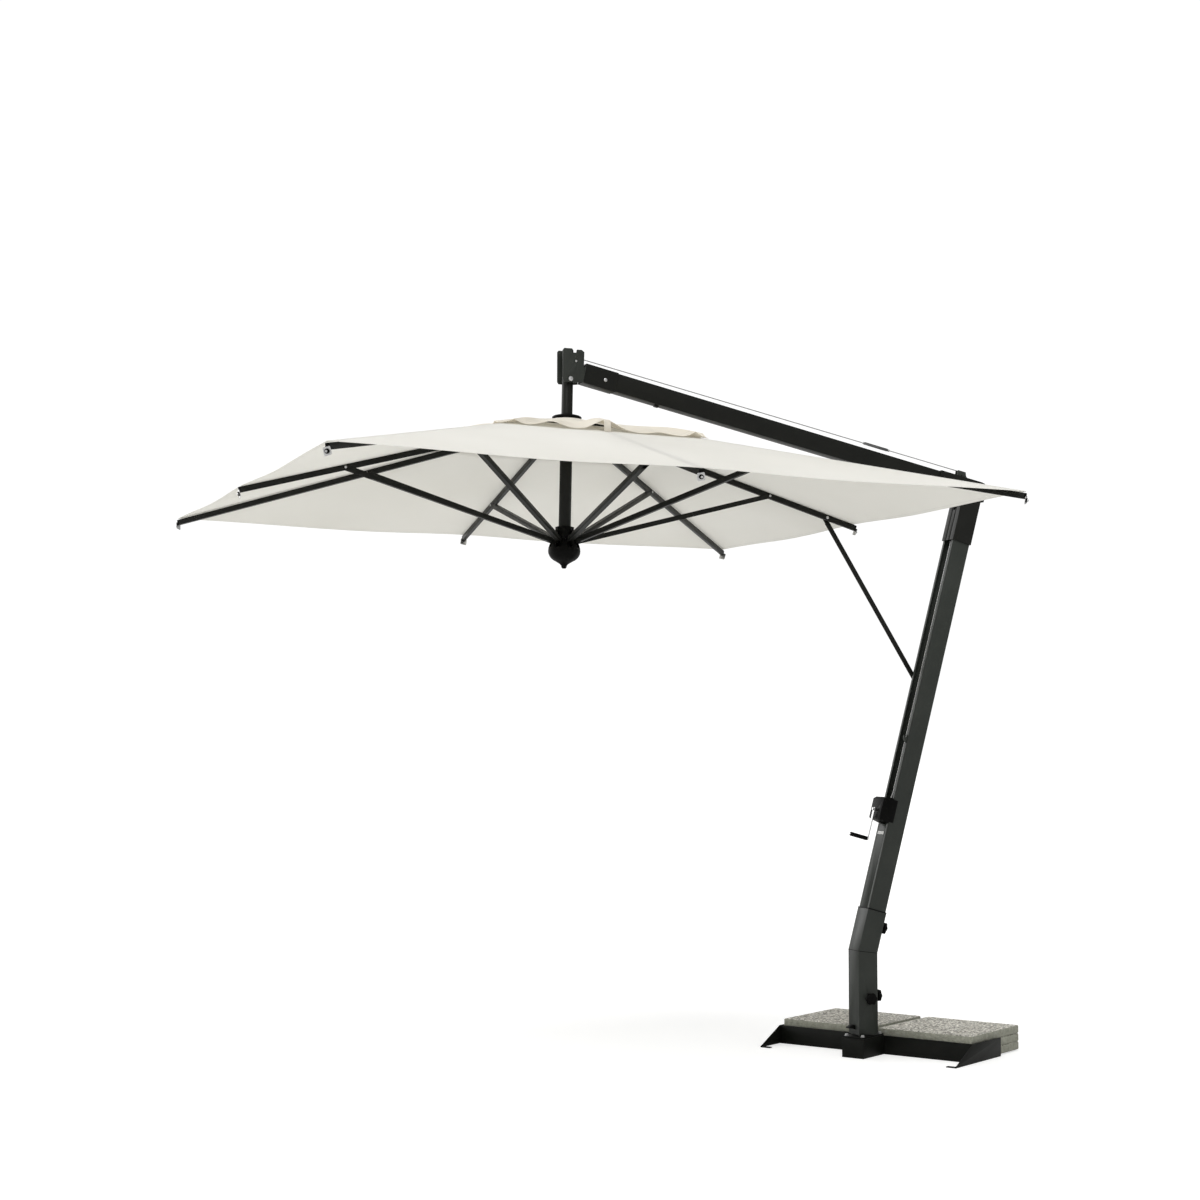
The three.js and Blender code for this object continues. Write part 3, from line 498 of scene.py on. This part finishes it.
# ------------------------------------------------------------------ fittings
def rib_tip(k):
    """Rounded plug in the rib's end, with the steel plate and bolt that stretch the cloth's corner."""
    body, length = f"rib_{k + 1}", rib_length(k)
    end = rib_frame(k) @ Matrix.Translation((length, 0, 0)) @ Matrix.Rotation(math.pi / 2, 4, "Y")
    plug = [(-0.0135, -0.0095), (0.0135, -0.0095), (0.0135, 0.0095), (-0.0135, 0.0095)]
    piece(f"rib_plug_{k + 1}", *prism(plug, 0.0003, 0.007, end), BLACK, body, "black_plastic", bevel=0.003)
    tilt = end @ Matrix.Translation((0.017, 0, 0.0075)) @ Matrix.Rotation(12 * DEG, 4, "Z")
    plate = []
    for quarter in range(4):
        for step in range(4):
            a = (quarter + step / 3) * math.pi / 2
            x, y = 0.0115 * (1, -1, -1, 1)[quarter], 0.0115 * (1, 1, -1, -1)[quarter]
            plate.append((x + 0.005 * math.cos(a), y + 0.005 * math.sin(a)))
    piece(f"tip_plate_{k + 1}", *prism(plate, 0.0, 0.002, tilt), STEEL, body, "steel", bevel=0.0004)
    ring = turned([(0.0092, 0.0023), (0.0098, 0.003), (0.0098, 0.006), (0.009, 0.0068)], 24, tilt)
    piece(f"tip_ring_{k + 1}", *ring, BLACK, body, "black_plastic")
    screw = turned([(0.0052, 0.0069), (0.0052, 0.0105), (0.0042, 0.0122), (0.002, 0.0128)], 16, tilt)
    piece(f"tip_screw_{k + 1}", *screw, STEEL, body, "steel")


def rib_rivets(k):
    """Heads of the pins that join each stretcher to its rib."""
    frame_r = radial(k)
    across = frame_r.to_3x3() @ Vector((0, 1, 0))
    for side in (-1, 1):
        label = f"{k + 1}_{'a' if side < 0 else 'b'}"
        at = frame_r @ (joint_point(k) + Vector((0, side * 0.0121, 0)))
        dome(f"joint_rivet_{label}", at, across * side, 0.0062, 0.0035, f"stretcher_{k + 1}")


def fixed_bolts():
    """Bolts of the swivel flange, and the rivets of the arm's nose and of the strut's upper end."""
    for i, (u, v) in enumerate(((-0.044, -0.084), (0.044, -0.084), (-0.044, 0.078), (0.044, 0.078))):
        bolt(f"flange_bolt_{i + 1}", BASE @ Vector((u, v, 0.1001)), (0, 0, 1), 0.0085, 0.0095, "base")
    for side in (-1, 1):
        y = side * 0.0331
        label = "a" if side < 0 else "b"
        dome(f"nose_rivet_{label}", ARM @ Vector((0.107, y, -0.004)), (0, side, 0), 0.0085, 0.0035, "mast")
    on_rib = Vector((STRUT, -0.0092, CROWN_Z - (STRUT - RING) * math.tan(MID)))
    dome("strut_rivet", radial(0) @ on_rib, (0, -1, 0), 0.0075, 0.0035, "rib_1")


def square_band(name, matrix, inner, outer, low, high, stretch=1.0):
    """A thin square ring about the matrix's Z; its X half widths are stretched."""
    corners = ((-1, -1), (1, -1), (1, 1), (-1, 1))
    vertices = []
    for z in (low, high):
        for r in (outer, inner):
            vertices += [matrix @ Vector((x * r * stretch, y * r, z)) for x, y in corners]
    faces = []
    for i in range(4):
        n = (i + 1) % 4
        faces.append((i, n, 8 + n, 8 + i))
        faces.append((4 + n, 4 + i, 12 + i, 12 + n))
        faces.append((8 + i, 8 + n, 12 + n, 12 + i))
        faces.append((n, i, 4 + i, 4 + n))
    piece(name, vertices, faces, BLACK, "mast", "black_plastic", bevel=0.0004)


def post_seams():
    """Dark seal where the mast stands in the lower post, and the weld round the post's bend."""
    square_band("post_seal", MAST, 0.0477, 0.0514, 0.2003, 0.2048)
    mitre = MAST_LEAN / 2
    bend = Matrix.Translation((0, 0, BEND_HEIGHT)) @ Matrix.Rotation(mitre, 4, "Y")
    square_band("bend_weld", bend, 0.05105, 0.0516, -0.0012, 0.0012, 1 / math.cos(mitre))


def head_cap():
    """Round plastic cap that closes the top of the head between its two plates."""
    middle = Matrix.Translation((-1.524, 0, 3.2925))
    profile = [(0.024, 0), (0.026, 0.002), (0.026, 0.024), (0.0235, 0.0285), (0.016, 0.031)]
    piece("head_cap", *turned(profile, 32, middle), BLACK, "mast", "black_plastic")


def cable_ferrules():
    """Pressed ferrules on the cable at the turnbuckle's two ends."""
    for n, s in enumerate((1.492, 1.635)):
        matrix = ARM @ Matrix.Translation((s, 0, 0.0741)) @ Matrix.Rotation(math.pi / 2, 4, "Y")
        ferrule = turned([(0.0048, 0), (0.0055, 0.001), (0.0055, 0.0085), (0.0048, 0.0095)], 18, matrix)
        piece(f"cable_ferrule_{n}", *ferrule, STEEL, "turnbuckle", "steel")


def mast_plate():
    """Plain pale plate, without text, on the mast's cover."""
    plate = [(-0.0075, -0.028), (0.0075, -0.028), (0.0075, 0.028), (-0.0075, 0.028)]
    front = MAST @ Matrix.Translation((-0.0484, 0.002, 0.5735)) @ Matrix.Rotation(-math.pi / 2, 4, "Y")
    piece("blank_plate", *prism(plate, 0.0001, 0.0008, front), PALE, "mast", "steel", bevel=0.0002)


def crank_nut():
    """Nut that holds the crank arm on the winch's shaft."""
    front = facing(MAST @ Vector((-0.1172, 0, 0.675)), MAST.to_3x3() @ Vector((-1, 0, 0)))
    piece("crank_nut", *prism(hexagon(0.0075), 0, 0.006, front), STEEL, "crank", "steel", bevel=0.0006)


def vent_straps():
    """White straps that hold the vent's standing edge to the canopy, one in the middle of each side."""
    for k in (0, 2, 4, 6):
        frame_r = radial(k)
        angle = k * math.pi / 4
        edge = vent_height(VENT, angle)
        foot = canopy_height(VENT + 0.016, angle) + 0.002
        path = [
            (VENT - 0.03, edge - 0.005),
            (VENT + 0.003, edge + 0.001),
            (VENT + 0.009, edge - 0.01),
            (VENT + 0.016, foot),
        ]
        vertices = []
        for lift in (0.0, 0.0014):
            for r, z in path:
                vertices += [frame_r @ Vector((r + lift, y, z + lift)) for y in (-0.016, 0.016)]
        faces = []
        n = len(path)
        for j in range(n - 1):
            a = 2 * j
            faces.append((a, a + 2, a + 3, a + 1))
            faces.append((2 * n + a + 1, 2 * n + a + 3, 2 * n + a + 2, 2 * n + a))
            faces.append((a, 2 * n + a, 2 * n + a + 2, a + 2))
            faces.append((a + 3, 2 * n + a + 3, 2 * n + a + 1, a + 1))
        faces.append((0, 1, 2 * n + 1, 2 * n))
        faces.append((2 * n - 2, 4 * n - 2, 4 * n - 1, 2 * n - 1))
        piece(f"vent_strap_{k + 1}", vertices, faces, VENT_CLOTH, f"rib_{k + 1}", "canvas", angle=60)


# ------------------------------------------------------------------ finish on the CAD nodes
def dress_frame():
    """Materials, joined vertices and softened edges for every CAD node."""
    slots = {entry["node"]: entry["material_slot"] for entry in frame["record"]["subparts"]}
    for name, node in frame["nodes"].items():
        node.data.materials.clear()
        cable = name in ("lift_cable", "drop_cable", "drop_cable_upper")
        # Ribs, stretchers, the canopy post, the strut and the arm parts in the mast's paint get its darker
        # copy, which is painted shade.
        dark = name.startswith(("rib_", "stretcher_", "canopy_post", "strut", "arm_"))
        coat = SHADED_COAT if dark and slots[name] == "mast_aluminium" else BY_SLOT[slots[name]]
        if name == "turnbuckle":
            coat = DULL_STEEL
        node.data.materials.append(ROPE if cable else coat)
        joined = node.modifiers.new("joined", "WELD")
        joined.merge_threshold = 0.00002
        smooth(node, 12 if name == "lower_post" else 34)
        if name.startswith("slab"):
            soften(node, 0.0065, 3)
        elif not cable:
            soften(node, 0.0012 if name in ("mast", "arm_tube", "lower_post", "arm_sleeve") else 0.0007)


# ------------------------------------------------------------------ studio
DOME_STRENGTH, WHITE_STRENGTH, FLOOR_GLOW = 0.5, 1.05, 0.56


def studio():
    """White sweep: the camera sees white, the object is lit by a dimmer dome and a wide soft sun."""
    world = bpy.data.worlds.new("studio")
    bpy.context.scene.world = world
    world.use_nodes = True
    tree = world.node_tree
    dome_light = tree.nodes["Background"]
    dome_light.inputs["Color"].default_value = (1, 1, 1, 1)
    dome_light.inputs["Strength"].default_value = DOME_STRENGTH
    white = tree.nodes.new("ShaderNodeBackground")
    white.inputs["Color"].default_value = (1, 1, 1, 1)
    white.inputs["Strength"].default_value = WHITE_STRENGTH
    path = tree.nodes.new("ShaderNodeLightPath")
    mix = tree.nodes.new("ShaderNodeMixShader")
    tree.links.new(path.outputs["Is Camera Ray"], mix.inputs["Fac"])
    tree.links.new(dome_light.outputs["Background"], mix.inputs[1])
    tree.links.new(white.outputs["Background"], mix.inputs[2])
    tree.links.new(mix.outputs["Shader"], tree.nodes["World Output"].inputs["Surface"])
    floor_mesh = bpy.data.meshes.new("floor")
    half, low = 80, -0.001
    corners = [(-half, -half, low), (half, -half, low), (half, half, low), (-half, half, low)]
    floor_mesh.from_pydata(corners, [], [(0, 1, 2, 3)])
    floor = bpy.data.objects.new("floor", floor_mesh)
    bpy.context.scene.collection.objects.link(floor)
    made, tree, shader = new_material("studio_floor")
    shader.inputs["Base Color"].default_value = (0.58, 0.58, 0.57, 1)
    shader.inputs["Roughness"].default_value = 1.0
    shader.inputs["Specular IOR Level"].default_value = 0.0
    shader.inputs["Emission Color"].default_value = (1, 1, 1, 1)
    shader.inputs["Emission Strength"].default_value = FLOOR_GLOW
    dull = tree.nodes.new("ShaderNodeBsdfDiffuse")
    dull.inputs["Color"].default_value = (0.72, 0.72, 0.71, 1)
    path = tree.nodes.new("ShaderNodeLightPath")
    mix = tree.nodes.new("ShaderNodeMixShader")
    tree.links.new(path.outputs["Is Camera Ray"], mix.inputs["Fac"])
    tree.links.new(dull.outputs["BSDF"], mix.inputs[1])
    tree.links.new(shader.outputs["BSDF"], mix.inputs[2])
    tree.links.new(mix.outputs["Shader"], tree.nodes["Material Output"].inputs["Surface"])
    floor_mesh.materials.append(made)
    for name, toward, strength, angle in (
        ("sun", (0.35, 0.34, -0.86), 2.05, 50),
        ("rim", (0.55, -0.78, -0.25), 1.5, 60),
        ("fill", (0.1, 0.9, -0.2), 0.25, 60),
    ):
        light = bpy.data.lights.new(name, "SUN")
        light.energy = strength
        light.angle = angle * DEG
        holder = bpy.data.objects.new(name, light)
        holder.location = (0, 0, 6)
        holder.rotation_euler = Vector(toward).to_track_quat("-Z", "Y").to_euler()
        bpy.context.scene.collection.objects.link(holder)
    view = bpy.context.scene.view_settings
    view.view_transform = "Standard"
    view.look = "None"


def camera():
    data = bpy.data.cameras.new("camera")
    data.lens = 62.4
    data.sensor_width = 36.0
    holder = bpy.data.objects.new("camera", data)
    holder.location = (-4.9184, -8.9286, 1.5515)
    holder.rotation_euler = (math.radians(93.629), 0, math.radians(-21.708))
    bpy.context.scene.collection.objects.link(holder)
    bpy.context.scene.camera = holder


dress_frame()
build_cloth()
for k in range(8):
    rib_tip(k)
    rib_rivets(k)
fixed_bolts()
post_seams()
head_cap()
cable_ferrules()
mast_plate()
crank_nut()
vent_straps()
studio()
camera()
